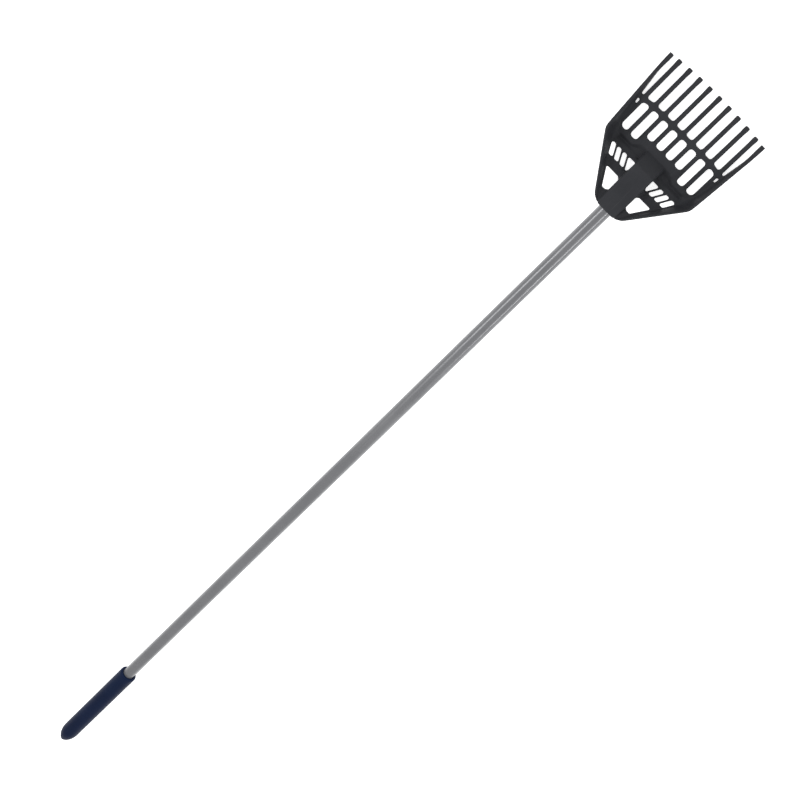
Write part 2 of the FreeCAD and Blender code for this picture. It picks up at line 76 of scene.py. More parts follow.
# Each bracing web beside the housing: its place, its length along the head and its reach outwards.
GUSSET_STATIONS = ((-28.0, 8.0, 7.0), (-5.6, 3.6, 6.5))
# The web in a heel corner: its place, its reach inwards and its height, station by station.
CORNER_STATIONS = ((-9.5, 0.8, 3.0), (-4.0, 5.0, 8.0), (2.0, 8.0, 10.0),
                   (8.6, 3.6, 7.0), (14.0, 1.6, 5.0), (24.0, 0.8, 3.0))

Point2 = tuple[float, float]
Corner = tuple[float, float, float]
Loop = list[Point2]
Socket = bpy.types.NodeSocket


class Side(Enum):
    """The two halves of the head, seen with the tips pointing away."""

    LEFT = 1
    RIGHT = -1


class Lamp(Enum):
    """The studio's lamps: where each stands, its width and length, and its power."""

    KEY = ((0.10, -1.55, 0.86), (0.24, 0.95), 10.0)
    FILL = ((0.10, 1.02, 1.26), (0.20, 0.95), 10.0)
    FRONT = ((2.30, 0.10, 0.85), (1.60, 1.20), 15.0)


# ---------------------------------------------------------------------------------------------
# Mesh helpers


def lift(points: list[tuple[float, float, float]], heel: float) -> list[Vector]:
    """Turn millimetres from the heel fold into metres in the frame.

    Args:
        points: Places in millimetres, measured from the heel fold.
        heel: The heel fold's place along the frame, in metres.

    Returns:
        The same places in metres.
    """
    return [Vector((heel + x * MM, y * MM, z * MM)) for x, y, z in points]


def rounded(corners: list[Corner], steps: int = 6) -> Loop:
    """Round each corner of a closed outline with its own radius.

    Args:
        corners: Corners as (x, y, radius).
        steps: Spans in each rounded corner.

    Returns:
        The outline's points, with an arc in place of each corner.
    """
    count = len(corners)
    outline: Loop = []
    for index, (x, y, radius) in enumerate(corners):
        here = Vector((x, y))
        back = Vector(corners[index - 1][:2]) - here
        ahead = Vector(corners[(index + 1) % count][:2]) - here
        if radius <= 0 or back.length < 1e-6 or ahead.length < 1e-6:
            outline.append((x, y))
            continue
        half = back.angle(ahead) / 2
        if half > NEARLY_STRAIGHT:
            outline.append((x, y))
            continue
        # An arc takes a little under half of a side, which leaves room for the next corner's.
        reach = min(radius / math.tan(half), 0.48 * back.length, 0.48 * ahead.length)
        start = here + back.normalized() * reach
        finish = here + ahead.normalized() * reach
        for step in range(steps + 1):
            t = step / steps
            # A rational curve with this middle weight is a true arc.
            weight = math.sin(half)
            low, middle, high = (1 - t) ** 2, 2 * weight * t * (1 - t), t ** 2
            place = (start * low + here * middle + finish * high) / (low + middle + high)
            outline.append((place.x, place.y))
    return outline


def mirrored(half: list[Corner]) -> list[Corner]:
    """Complete a half outline by its mirror image across the middle."""
    return half + [(x, -y, radius) for x, y, radius in reversed(half)]


def on_side(side: Side, corners: list[Corner]) -> list[Corner]:
    """Put an outline drawn on the left onto one side."""
    return [(x, side.value * y, radius) for x, y, radius in corners]


def link(name: str, mesh: bpy.types.Mesh) -> bpy.types.Object:
    """Put a mesh in the scene as a new object.

    Args:
        name: The object's name.
        mesh: Its mesh.

    Returns:
        The object.
    """
    piece = bpy.data.objects.new(name, mesh)
    bpy.context.scene.collection.objects.link(piece)
    return piece


def discard(piece: bpy.types.Object) -> None:
    """Take a helper object out of the scene."""
    bpy.data.objects.remove(piece, do_unlink=True)


def settle(piece: bpy.types.Object) -> bpy.types.Object:
    """Apply every modifier of a piece to its mesh.

    Args:
        piece: A mesh or curve object.

    Returns:
        A mesh object of the same name, with no modifiers.
    """
    bpy.context.view_layer.update()
    shape = piece.evaluated_get(bpy.context.evaluated_depsgraph_get())
    mesh = bpy.data.meshes.new_from_object(shape)
    name = piece.name
    discard(piece)
    return link(name, mesh)


def plate(name: str, loops: list[Loop], low: float, high: float, heel: float) -> bpy.types.Object:
    """Cut a flat plate with holes from closed outlines.

    Args:
        name: The plate's name.
        loops: The outer outline and the outlines of its holes, in millimetres.
        low: The height of its underside.
        high: The height of its top.
        heel: The heel fold's place along the frame.

    Returns:
        A closed mesh object.
    """
    curve = bpy.data.curves.new(name, "CURVE")
    curve.dimensions = "2D"
    curve.fill_mode = "BOTH"
    curve.extrude = (high - low) / 2 * MM
    for loop in loops:
        spline = curve.splines.new("POLY")
        spline.points.add(len(loop) - 1)
        for point, (x, y) in zip(spline.points, loop):
            point.co = (heel + x * MM, y * MM, 0.0, 1.0)
        spline.use_cyclic_u = True
    holder = bpy.data.objects.new(name, curve)
    bpy.context.scene.collection.objects.link(holder)
    piece = settle(holder)
    middle = (high + low) / 2 * MM
    work = bmesh.new()
    work.from_mesh(piece.data)
    bmesh.ops.translate(work, vec=(0, 0, middle), verts=work.verts)
    bmesh.ops.remove_doubles(work, verts=work.verts, dist=1e-6)
    bmesh.ops.recalc_face_normals(work, faces=work.faces)
    work.to_mesh(piece.data)
    work.free()
    return piece


def loft(name: str, sections: list[list[Vector]]) -> bpy.types.Object:
    """Skin closed sections that have the same number of corners, with both ends capped.

    Args:
        name: The piece's name.
        sections: Closed rings of points, one after another.

    Returns:
        A closed mesh object.
    """
    work = bmesh.new()
    rings = [[work.verts.new(point) for point in section] for section in sections]
    count = len(rings[0])
    for first, second in zip(rings, rings[1:]):
        for index in range(count):
            after = (index + 1) % count
            work.faces.new((first[index], first[after], second[after], second[index]))
    work.faces.new(list(reversed(rings[0])))
    work.faces.new(rings[-1])
    bmesh.ops.recalc_face_normals(work, faces=work.faces)
    mesh = bpy.data.meshes.new(name)
    work.to_mesh(mesh)
    work.free()
    return link(name, mesh)


def lathe(name: str, profile: Loop, centre: Vector, segments: int = 96) -> bpy.types.Object:
    """Turn an open profile about a line along the frame.

    Args:
        name: The piece's name.
        profile: Points as (place along the line, radius), in metres.
        centre: A point of the line.
        segments: Facets round the line.

    Returns:
        A mesh object, closed where the profile meets the line or itself.
    """
    work = bmesh.new()
    rings = []
    for along, radius in profile:
        if radius < 1e-7:
            rings.append([work.verts.new((along, centre.y, centre.z))])
            continue
        ring = []
        for index in range(segments):
            turn = 2 * math.pi * index / segments
            across, up = radius * math.cos(turn), radius * math.sin(turn)
            ring.append(work.verts.new((along, centre.y + across, centre.z + up)))
        rings.append(ring)
    for first, second in zip(rings, rings[1:]):
        for index in range(segments):
            after = (index + 1) % segments
            if len(first) == 1 and len(second) == 1:
                break
            if len(first) == 1:
                work.faces.new((first[0], second[after], second[index]))
            elif len(second) == 1:
                work.faces.new((first[index], first[after], second[0]))
            else:
                work.faces.new((first[index], first[after], second[after], second[index]))
    bmesh.ops.recalc_face_normals(work, faces=work.faces)
    mesh = bpy.data.meshes.new(name)
    work.to_mesh(mesh)
    work.free()
    mesh.shade_smooth()
    return link(name, mesh)


def arc(centre: Point2, radius: float, start: float, finish: float, steps: int) -> Loop:
    """List points along an arc.

    Args:
        centre: The arc's centre.
        radius: Its radius.
        start: The angle it starts at, in degrees.
        finish: The angle it ends at, in degrees.
        steps: How many spans it has.

    Returns:
        The points, both ends included.
    """
    angles = [math.radians(start + (finish - start) * step / steps) for step in range(steps + 1)]
    x, y = centre
    return [(x + radius * math.cos(angle), y + radius * math.sin(angle)) for angle in angles]


def fuse(name: str, pieces: list[bpy.types.Object], voxel: float, passes: int) -> bpy.types.Object:
    """Melt overlapping closed pieces into one skin and soften its edges, as a moulding's are.

    Args:
        name: The result's name.
        pieces: The overlapping pieces, which are used up.
        voxel: The size of the skin's cells, in metres.
        passes: How many times the skin is smoothed.

    Returns:
        One mesh object.
    """
    work = bmesh.new()
    for piece in pieces:
        work.from_mesh(piece.data)
        discard(piece)
    mesh = bpy.data.meshes.new(name)
    work.to_mesh(mesh)
    work.free()
    whole = link(name, mesh)
    remesh = whole.modifiers.new("skin", "REMESH")
    remesh.mode = "VOXEL"
    remesh.voxel_size = voxel
    if passes:
        soften = whole.modifiers.new("soften", "SMOOTH")
        soften.factor = 0.5
        soften.iterations = passes
    whole = settle(whole)
    whole.data.shade_smooth()
    return whole


def vertices(mesh: bpy.types.Mesh) -> np.ndarray:
    """Read a mesh's vertex places.

    Args:
        mesh: The mesh.

    Returns:
        One row of x, y and z for each vertex.
    """
    places = np.empty(len(mesh.vertices) * 3, dtype=np.float32)
    mesh.vertices.foreach_get("co", places)
    return places.reshape(-1, 3).astype(np.float64)


def move_vertices(mesh: bpy.types.Mesh, places: np.ndarray) -> None:
    """Write a mesh's vertex places from an array of rows."""
    mesh.vertices.foreach_set("co", places.astype(np.float32).ravel())
    mesh.update()


def ease(value: np.ndarray) -> np.ndarray:
    """Ease from 0 to 1 with flat ends, holding outside."""
    t = np.clip(value, 0.0, 1.0)
    return t * t * (3 - 2 * t)


# ---------------------------------------------------------------------------------------------
# Finishes


def new_group(
    name: str, inputs: list[tuple[str, str, object]], outputs: list[tuple[str, str]],
) -> bpy.types.NodeTree:
    """Start a shader node group with named sockets.

    Args:
        name: The group's name.
        inputs: (name, socket type, starting value) of each input.
        outputs: (name, socket type) of each output.

    Returns:
        The group's node tree.
    """
    tree = bpy.data.node_groups.new(name, "ShaderNodeTree")
    for title, kind, value in inputs:
        socket = tree.interface.new_socket(title, in_out="INPUT", socket_type=kind)
        socket.default_value = value
    for title, kind in outputs:
        tree.interface.new_socket(title, in_out="OUTPUT", socket_type=kind)
    return tree


@dataclass
class Wiring:
    """Adds and joins the nodes of one tree."""

    tree: bpy.types.NodeTree

    def add(self, kind: str, **values: object) -> bpy.types.Node:
        """Add a node.

        Args:
            kind: The node's type.
            **values: Its properties by name.

        Returns:
            The node.
        """
        node = self.tree.nodes.new(kind)
        for key, value in values.items():
            setattr(node, key, value)
        return node

    def join(self, source: Socket, target: Socket) -> None:
        """Join an output to an input."""
        self.tree.links.new(source, target)

    def noise(self, where: Socket, scale: float, detail: float = 3.0) -> Socket:
        """Add a noise texture.

        Args:
            where: The place it is read at.
            scale: Its scale.
            detail: Its detail.

        Returns:
            Its factor.
        """
        node = self.add("ShaderNodeTexNoise")
        node.inputs["Scale"].default_value = scale
        node.inputs["Detail"].default_value = detail
        self.join(where, node.inputs["Vector"])
        return node.outputs["Fac"]

    def stretched(
        self, where: Socket, scale: tuple[float, float, float],
    ) -> Socket:
        """Stretch a place along the axes.

        Args:
            where: The place.
            scale: How much to stretch each axis.

        Returns:
            The stretched place.
        """
        node = self.add("ShaderNodeMapping")
        node.inputs["Scale"].default_value = scale
        self.join(where, node.inputs["Vector"])
        return node.outputs["Vector"]

    def spread(self, value: Socket, low: float, high: float) -> Socket:
        """Bring the middle of a noise's range to the range from low to high.

        Args:
            value: The noise.
            low: Where the range starts.
            high: Where it ends.

        Returns:
            The spread value.
        """
        node = self.add("ShaderNodeMapRange")
        node.inputs["From Min"].default_value = 0.35
        node.inputs["From Max"].default_value = 0.65
        node.inputs["To Min"].default_value = low
        node.inputs["To Max"].default_value = high
        self.join(value, node.inputs["Value"])
        return node.outputs["Result"]

    def blend(self, share: Socket, first: object, second: object) -> Socket:
        """Mix two colours.

        Args:
            share: The second colour's share.
            first: A socket or a plain colour.
            second: A socket or a plain colour.

        Returns:
            The mixed colour.
        """
        node = self.add("ShaderNodeMix", data_type="RGBA")
        self.join(share, node.inputs["Factor"])
        for index, colour in ((6, first), (7, second)):
            if isinstance(colour, Socket):
                self.join(colour, node.inputs[index])
            else:
                node.inputs[index].default_value = (*colour, 1.0)
        return node.outputs[2]

    def sum(self, *values: Socket) -> Socket:
        """Add several values together.

        Args:
            *values: The values.

        Returns:
            Their sum.
        """
        total = values[0]
        for value in values[1:]:
            node = self.add("ShaderNodeMath", operation="ADD")
            self.join(total, node.inputs[0])
            self.join(value, node.inputs[1])
            total = node.outputs[0]
        return total

    def scaled(self, value: Socket, factor: object) -> Socket:
        """Multiply a value.

        Args:
            value: The value.
            factor: A number or another value.

        Returns:
            The product.
        """
        node = self.add("ShaderNodeMath", operation="MULTIPLY")
        self.join(value, node.inputs[0])
        if isinstance(factor, Socket):
            self.join(factor, node.inputs[1])
        else:
            node.inputs[1].default_value = factor
        return node.outputs[0]


def make_grain() -> bpy.types.NodeTree:
    """Build the group that gives a surface its uneven colour, its gloss and a fine texture.

    Returns:
        A group with Colour, Roughness and Height outputs.
    """
    tree = new_group(
        "surface grain",
        [
            ("Place", "NodeSocketVector", (0.0, 0.0, 0.0)),
            ("Colour", "NodeSocketColor", (0.5, 0.5, 0.5, 1.0)),
            ("Pale Colour", "NodeSocketColor", (0.6, 0.6, 0.6, 1.0)),
            ("Patch Scale", "NodeSocketFloat", 40.0),
            ("Grain Scale", "NodeSocketFloat", 900.0),
            ("Rough Low", "NodeSocketFloat", 0.4),
            ("Rough High", "NodeSocketFloat", 0.6),
        ],
        [("Colour", "NodeSocketColor"), ("Roughness", "NodeSocketFloat"), ("Height", "NodeSocketFloat")],
    )
    wires = Wiring(tree)
    given = wires.add("NodeGroupInput").outputs
    result = wires.add("NodeGroupOutput").inputs
    patches = wires.add("ShaderNodeTexNoise")
    patches.inputs["Detail"].default_value = 5.0
    patches.inputs["Roughness"].default_value = 0.6
    wires.join(given["Place"], patches.inputs["Vector"])
    wires.join(given["Patch Scale"], patches.inputs["Scale"])
    pebbles = wires.add("ShaderNodeTexVoronoi", feature="SMOOTH_F1")
    wires.join(given["Place"], pebbles.inputs["Vector"])
    wires.join(given["Grain Scale"], pebbles.inputs["Scale"])
    speckle = wires.add("ShaderNodeTexNoise")
    speckle.inputs["Detail"].default_value = 2.0
    wires.join(given["Place"], speckle.inputs["Vector"])
    wires.join(given["Grain Scale"], speckle.inputs["Scale"])
    share = wires.spread(patches.outputs["Fac"], 0.0, 1.0)
    mix = wires.add("ShaderNodeMix", data_type="RGBA")
    wires.join(share, mix.inputs["Factor"])
    wires.join(given["Colour"], mix.inputs[6])
    wires.join(given["Pale Colour"], mix.inputs[7])
    wires.join(mix.outputs[2], result["Colour"])
    rough = wires.add("ShaderNodeMapRange")
    cloudy = wires.scaled(patches.outputs["Fac"], 0.6)
    uneven = wires.sum(cloudy, wires.scaled(speckle.outputs["Fac"], 0.4))
    wires.join(wires.spread(uneven, 0.0, 1.0), rough.inputs["Value"])
    wires.join(given["Rough Low"], rough.inputs["To Min"])
    wires.join(given["Rough High"], rough.inputs["To Max"])
    wires.join(rough.outputs["Result"], result["Roughness"])
    pebbled = wires.scaled(pebbles.outputs["Distance"], 0.7)
    wires.join(wires.sum(pebbled, wires.scaled(speckle.outputs["Fac"], 0.5)), result["Height"])
    return tree


def make_wear() -> bpy.types.NodeTree:
    """Build the group that scuffs a surface with fine scratches and a little dry sand dust.

    Returns:
        A group with Colour and Mask outputs.
    """
    tree = new_group(
        "scuffs and dust",
        [
            ("Place", "NodeSocketVector", (0.0, 0.0, 0.0)),
            ("Colour", "NodeSocketColor", (0.5, 0.5, 0.5, 1.0)),
            ("Scuff Colour", "NodeSocketColor", (0.7, 0.7, 0.7, 1.0)),
            ("Scuffs", "NodeSocketFloat", 0.2),
            ("Dust", "NodeSocketFloat", 0.05),
        ],
        [("Colour", "NodeSocketColor"), ("Mask", "NodeSocketFloat")],
    )
    wires = Wiring(tree)
    given = wires.add("NodeGroupInput").outputs
    result = wires.add("NodeGroupOutput").inputs
    lines = wires.noise(wires.stretched(given["Place"], (18.0, 900.0, 900.0)), 1.0, 4.0)
    fine = wires.add("ShaderNodeMapRange")
    fine.inputs["From Min"].default_value = 0.60
    fine.inputs["From Max"].default_value = 0.72
    wires.join(lines, fine.inputs["Value"])
    area = wires.spread(wires.noise(given["Place"], 26.0, 4.0), 0.0, 1.0)
    scuffs = wires.scaled(wires.scaled(fine.outputs["Result"], area), given["Scuffs"])
    specks = wires.add("ShaderNodeMapRange")
    specks.inputs["From Min"].default_value = 0.52
    specks.inputs["From Max"].default_value = 0.75
    wires.join(wires.noise(given["Place"], 700.0, 6.0), specks.inputs["Value"])
    dust = wires.scaled(specks.outputs["Result"], given["Dust"])
    mask = wires.sum(scuffs, dust)
    mix = wires.add("ShaderNodeMix", data_type="RGBA")
    wires.join(mask, mix.inputs["Factor"])
    wires.join(given["Colour"], mix.inputs[6])
    wires.join(given["Scuff Colour"], mix.inputs[7])
    wires.join(mix.outputs[2], result["Colour"])
    wires.join(mask, result["Mask"])
    return tree


GRAIN = make_grain()
WEAR = make_wear()


@dataclass(frozen=True)
class Finish:
    """One finish: its colours, gloss, grain, scuffs and bump."""

    name: str
    colour: tuple[float, float, float]
    pale: tuple[float, float, float]
    rough: tuple[float, float]
    patch_scale: float = 40.0
    grain_scale: float = 900.0
    bump: float = 0.1
    bump_depth: float = 0.0002
    scuff: tuple[float, float, float] = (0.3, 0.3, 0.3)
    scuffs: float = 0.2
    dust: float = 0.05
    worn_edges: float = 0.0
    metallic: float = 0.0
    specular: float = 0.5
    draw_lines: float = 0.0

    def make(self) -> bpy.types.Material:
        """Build the material.

        Returns:
            A node-based material.
        """
        material = bpy.data.materials.new(self.name)
        material.use_nodes = True
        tree = material.node_tree
        tree.nodes.clear()
        wires = Wiring(tree)
        shader = wires.add("ShaderNodeBsdfPrincipled")
        output = wires.add("ShaderNodeOutputMaterial")
        wires.join(shader.outputs["BSDF"], output.inputs["Surface"])
        place = wires.add("ShaderNodeTexCoord").outputs["Object"]
        grain = wires.add("ShaderNodeGroup", node_tree=GRAIN)
        wires.join(place, grain.inputs["Place"])
        grain.inputs["Colour"].default_value = (*self.colour, 1.0)
        grain.inputs["Pale Colour"].default_value = (*self.pale, 1.0)
        grain.inputs["Patch Scale"].default_value = self.patch_scale
        grain.inputs["Grain Scale"].default_value = self.grain_scale
        grain.inputs["Rough Low"].default_value = self.rough[0]
        grain.inputs["Rough High"].default_value = self.rough[1]
        wear = wires.add("ShaderNodeGroup", node_tree=WEAR)
        wires.join(place, wear.inputs["Place"])
        wires.join(grain.outputs["Colour"], wear.inputs["Colour"])
        wear.inputs["Scuff Colour"].default_value = (*self.scuff, 1.0)
        wear.inputs["Scuffs"].default_value = self.scuffs
        wear.inputs["Dust"].default_value = self.dust
        colour = wear.outputs["Colour"]
        if self.worn_edges:
            edges = wires.add("ShaderNodeMapRange")
            edges.inputs["From Min"].default_value = 0.52
            edges.inputs["From Max"].default_value = 0.62
            edges.inputs["To Max"].default_value = self.worn_edges
            wires.join(wires.add("ShaderNodeNewGeometry").outputs["Pointiness"], edges.inputs["Value"])
            colour = wires.blend(edges.outputs["Result"], colour, self.scuff)
        wires.join(colour, shader.inputs["Base Color"])
        wires.join(grain.outputs["Roughness"], shader.inputs["Roughness"])
        height = grain.outputs["Height"]
        if self.draw_lines:
            lines = wires.noise(wires.stretched(place, (3.0, 1400.0, 1400.0)), 1.0, 3.0)
            height = wires.sum(height, wires.scaled(lines, self.draw_lines))
        bump = wires.add("ShaderNodeBump")
        bump.inputs["Strength"].default_value = self.bump
        bump.inputs["Distance"].default_value = self.bump_depth
        wires.join(height, bump.inputs["Height"])
        wires.join(bump.outputs["Normal"], shader.inputs["Normal"])
        shader.inputs["Metallic"].default_value = self.metallic
        shader.inputs["Specular IOR Level"].default_value = self.specular
        return material


MOULDED_BLACK = Finish(
    name="moulded black plastic", colour=(0.0238, 0.0248, 0.0282), pale=(0.0284, 0.0295, 0.0333),
    rough=(0.46, 0.60), patch_scale=30.0, grain_scale=1100.0, bump=0.25, bump_depth=0.00015,
    scuff=(0.10, 0.10, 0.10), scuffs=0.25, dust=0.03, worn_edges=0.06, specular=0.10,
)
TUBE_COAT = Finish(
    name="grey tube coat", colour=(0.128, 0.130, 0.137), pale=(0.148, 0.150, 0.157),
    rough=(0.23, 0.31), patch_scale=12.0, grain_scale=1500.0, bump=0.10, bump_depth=0.0001,
    scuff=(0.30, 0.30, 0.30), scuffs=0.20, dust=0.02, metallic=0.25, specular=0.45, draw_lines=0.6,
)
DIPPED_VINYL = Finish(
    name="navy dipped vinyl", colour=(0.0038, 0.0086, 0.0285), pale=(0.0053, 0.0116, 0.0355),
    rough=(0.44, 0.56), patch_scale=28.0, grain_scale=600.0, bump=0.18, bump_depth=0.0003,
    scuff=(0.03, 0.045, 0.09), scuffs=0.12, dust=0.01, specular=0.06,
)
PLUG_PLASTIC = Finish(
    name="plug plastic", colour=(0.02, 0.02, 0.02), pale=(0.03, 0.03, 0.03), rough=(0.45, 0.6), scuffs=0.05,
)
ZINC = Finish(
    name="zinc plated steel", colour=(0.52, 0.52, 0.50), pale=(0.62, 0.62, 0.60),
    rough=(0.22, 0.36), patch_scale=300.0, grain_scale=2500.0, bump=0.08, bump_depth=0.00005,
    scuff=(0.35, 0.33, 0.30), scuffs=0.2, dust=0.02, metallic=1.0,
)
PALE_FLOOR = Finish(
    name="pale studio floor", colour=(0.90, 0.90, 0.90), pale=(0.92, 0.92, 0.92), rough=(0.75, 0.85),
    patch_scale=3.0, grain_scale=300.0, bump=0.02, scuffs=0.0, dust=0.0, specular=0.2,
)


def dress(piece: bpy.types.Object, finish: Finish) -> None:
    """Give a piece one finish all over.

    Args:
        piece: A piece made here, or a CAD node, which keeps its mesh.
        finish: The finish.
    """
    material = finish.make()
    if not piece.material_slots:
        piece.data.materials.append(material)
    for place in piece.material_slots:
        place.material = material


# ---------------------------------------------------------------------------------------------
# Sub-assemblies


@dataclass
class ScoopHead:
    """The moulded head: tines, crossbar, sifting ribs, heel, windowed back, side walls and socket."""

    heel: float
    tip_x: float
    neck_x: float
    socket_half: float
    axis_z: float
    pitch: float = 16.1
    bar: float = 5.8
    bar_top: float = 7.0
    tip_bow: float = 4.9
    tip_swell: float = 0.13
    cross_front: float = 55.8
    cross_back: float = 49.8
    cross_top: float = 8.0
    cross_droop: float = 2.2
    pan_edge: float = 9.9
    apron_edge: float = 21.4
    strip_edge: float = 40.5
    floor_top: float = 4.0
    wall: float = 3.0
    heel_half: float = 62.8
    rim_top: float = 30.0
    rim_flare: float = 7.0
    shoulder_flare: float = 4.1
    wall_root_x: float = 86.3
    wall_root_y: float = 75.0
    outer_tine: float = 4.8
    outer_tine_y: float = 77.3
    shoulder_x: float = -65.5
    socket_top: float = 27.5
    socket_edge: float = 2.6
    ramp_front: float = 12.0
    ramp_top: float = -5.5
    valley: float = 2.7
    bore: float = 9.6
    bore_depth: float = 62.0
    voxel: float = 0.0007

    @property
    def shoulder_half(self) -> float:
        """Half the gap between the walls at the shoulder."""
        return self.socket_half + 2.0

    @property
    def rise(self) -> float:
        """The back's rise for each millimetre towards the neck."""
        return (self.socket_top - self.floor_top) / -self.neck_x

    def foot(self, x: float) -> float:
        """The wall's inner foot at a station."""
        if x >= 0:
            return self.heel_half + (self.wall_root_y - self.heel_half) * x / self.wall_root_x
        return self.heel_half + (self.heel_half - self.shoulder_half) * x / -self.shoulder_x

    def tine_tip(self, index: int) -> float:
        """A tine's tip: the tips lie on a shallow bow."""
        return self.tip_x - self.tip_bow * index * index / 25

    def droop(self, index: int) -> float:
        """How far back the crossbar lies at a tine."""
        return self.cross_droop if index >= 4 else 0.35 if index == 3 else 0.0

    def comb_outline(self) -> Loop:
        """Draw the floor, ribs, crossbar and inner tines as one outline.

        Returns:
            The rounded outline, seen from above.
        """
        half: list[Corner] = [(self.tine_tip(0), self.bar / 2, 0.6), (self.cross_front, self.bar / 2, 2.6)]
        for index in range(1, 5):
            low, high = index * self.pitch - self.bar / 2, index * self.pitch + self.bar / 2
            front = self.cross_front - self.droop(index)
            half += [(front, low, 2.6), (self.tine_tip(index), low, 0.6), (self.tine_tip(index), high, 0.6)]
            half += [(front - (0.6 if index == 4 else 0.0), high, 2.6 if index < 4 else 1.2)]
        end = self.cross_front - 2 * self.cross_droop
        half += [(end + 2.4, self.foot(end) + self.wall / 2, 0.0)]
        half += [(0.0, self.heel_half + self.wall / 2, 0.0), (-4.0, self.foot(-4.0) + self.wall / 2, 0.0)]
        return rounded(mirrored(half))

    def slots(self) -> list[Loop]:
        """Draw the eight sifting slots and the two small slits beside the crossbar's ends.

        Returns:
            The rounded outlines, seen from above.
        """
        loops = []
        for side in Side:
            for index in range(4):
                low, high = index * self.pitch + self.bar / 2, (index + 1) * self.pitch - self.bar / 2
                rear = self.apron_edge if index < 2 else self.pan_edge
                front_low = self.cross_back - self.droop(index)
                front_high = self.cross_back - self.droop(index + 1)
                outer_radius = 6.0 if index == 3 else 3.6
                loops.append(rounded(on_side(side, [
                    (rear, low, 3.6),
                    (front_low, low, 3.4),
                    (front_high, high, 4.2 if index == 3 else 3.4),
                    (rear, high, outer_radius),
                ])))
            edge = 4 * self.pitch + self.bar / 2
            loops.append(rounded(on_side(side, [
                (self.strip_edge, edge - 0.9, 0.8),
                (47.0, edge - 0.9, 1.2),
                (47.6, self.foot(47.6) + 0.2, 1.2),
                (self.strip_edge, self.foot(self.strip_edge) + 0.2, 0.6),
            ])))
        return loops

    def comb(self) -> bpy.types.Object:
        """Make the level floor and its bars, with the ribs fading into the floor behind the slots.

        Returns:
            The floor, the ribs, the crossbar and the nine inner tines.
        """
        piece = plate("comb", [self.comb_outline(), *self.slots()], 0.0, self.bar_top, self.heel)
        piece = fuse("comb", [piece], self.voxel, 0)
        places = vertices(piece.data)
        x = (places[:, 0] - self.heel) / MM
        y = np.abs(places[:, 1]) / MM
        edge = np.where(y < 2 * self.pitch + 1.5, self.apron_edge, self.pan_edge)
        top = self.floor_top + (self.bar_top - self.floor_top) * ease((x - edge + 0.5) / 8.0)
        bend = self.cross_droop * ease((y - 3 * self.pitch) / self.pitch)
        middle = (self.cross_front + self.cross_back) / 2
        across = (x - middle + bend) / (self.cross_front - self.cross_back) * 2
        top = top + (self.cross_top - self.bar_top) * ease(1.6 - np.abs(across))
        sag = 0.9 * ease((x - self.cross_front) / (self.tip_x - self.cross_front))
        places[:, 2] *= (top - sag) / self.bar_top
        index = np.round(y / self.pitch)
        tip = self.tip_x - self.tip_bow * index * index / 25
        swell = 1.0 + self.tip_swell * ease((x - tip + 11.0) / 7.0)
        places[:, 1] = np.sign(places[:, 1]) * (index * self.pitch + (y - index * self.pitch) * swell) * MM
        move_vertices(piece.data, places)
        return piece

    def windows(self, side: Side) -> list[Loop]:
        """Draw one back plate's windows: a band of slanted slots and a triangle behind it.

        Args:
            side: Which half of the head.

        Returns:
            The rounded outlines, seen from above.
        """
        front, rear = -9.0, -22.6
        triangle, toe = -33.5, -54.3
        margin, slat = 1.2, 2.8
        inner = self.socket_half
        spread = (self.heel_half - self.shoulder_half) / -self.shoulder_x
        lean = 0.865 * spread
        pitch = 0.2375 * (self.foot(front) - margin - inner)
        loops = []
        for index in range(4):
            high = self.foot(front) - margin - index * pitch
            low = high - pitch + slat
            shift = lean * (front - rear)
            if index < 3:
                corners = [(front, high, 1.8), (rear, high - shift, 2.2),
                           (rear, low - shift, 1.4), (front, low, 2.0)]
            else:
                corner = (high - shift + inner) / 2
                corners = [(front, high, 1.6), (rear, high - shift, 1.4), (rear, corner, 0.8),
                           (rear + 3.4, inner, 0.6), (front, inner, 0.8)]
            loops.append(rounded(on_side(side, corners)))
        loops.append(rounded(on_side(side, [
            (triangle, self.foot(triangle) - margin, 1.2),
            (toe, self.foot(toe) - margin, 2.4),
            (toe, inner + 3.4, 3.0),
            (toe + 2.6, inner, 1.5),
            (triangle - 2.6, inner, 1.5),
            (triangle, inner + 3.4, 1.5),
        ])))
        return loops

    def back_plate(self, side: Side) -> bpy.types.Object:
        """Make one half of the rising back, sheared up from a flat plate.

        Args:
            side: Which half of the head.

        Returns:
            The plate with its windows.
        """
        seat = self.wall / 2
        outline = on_side(side, [
            (-1.2, self.socket_half - 2.0, 0.0),
            (-1.2, self.foot(-1.2) + seat, 0.0),
            (self.shoulder_x, self.shoulder_half + seat, 0.0),
            (self.neck_x + 1.6, self.socket_half + seat - 0.4, 0.0),
            (self.neck_x + 1.6, self.socket_half - 3.0, 0.0),
        ])
        piece = plate("back", [rounded(outline), *self.windows(side)], 0.0, self.floor_top, self.heel)
        places = vertices(piece.data)
        places[:, 2] += np.maximum(0.0, (self.heel - places[:, 0]) * self.rise)
        move_vertices(piece.data, places)
        return piece

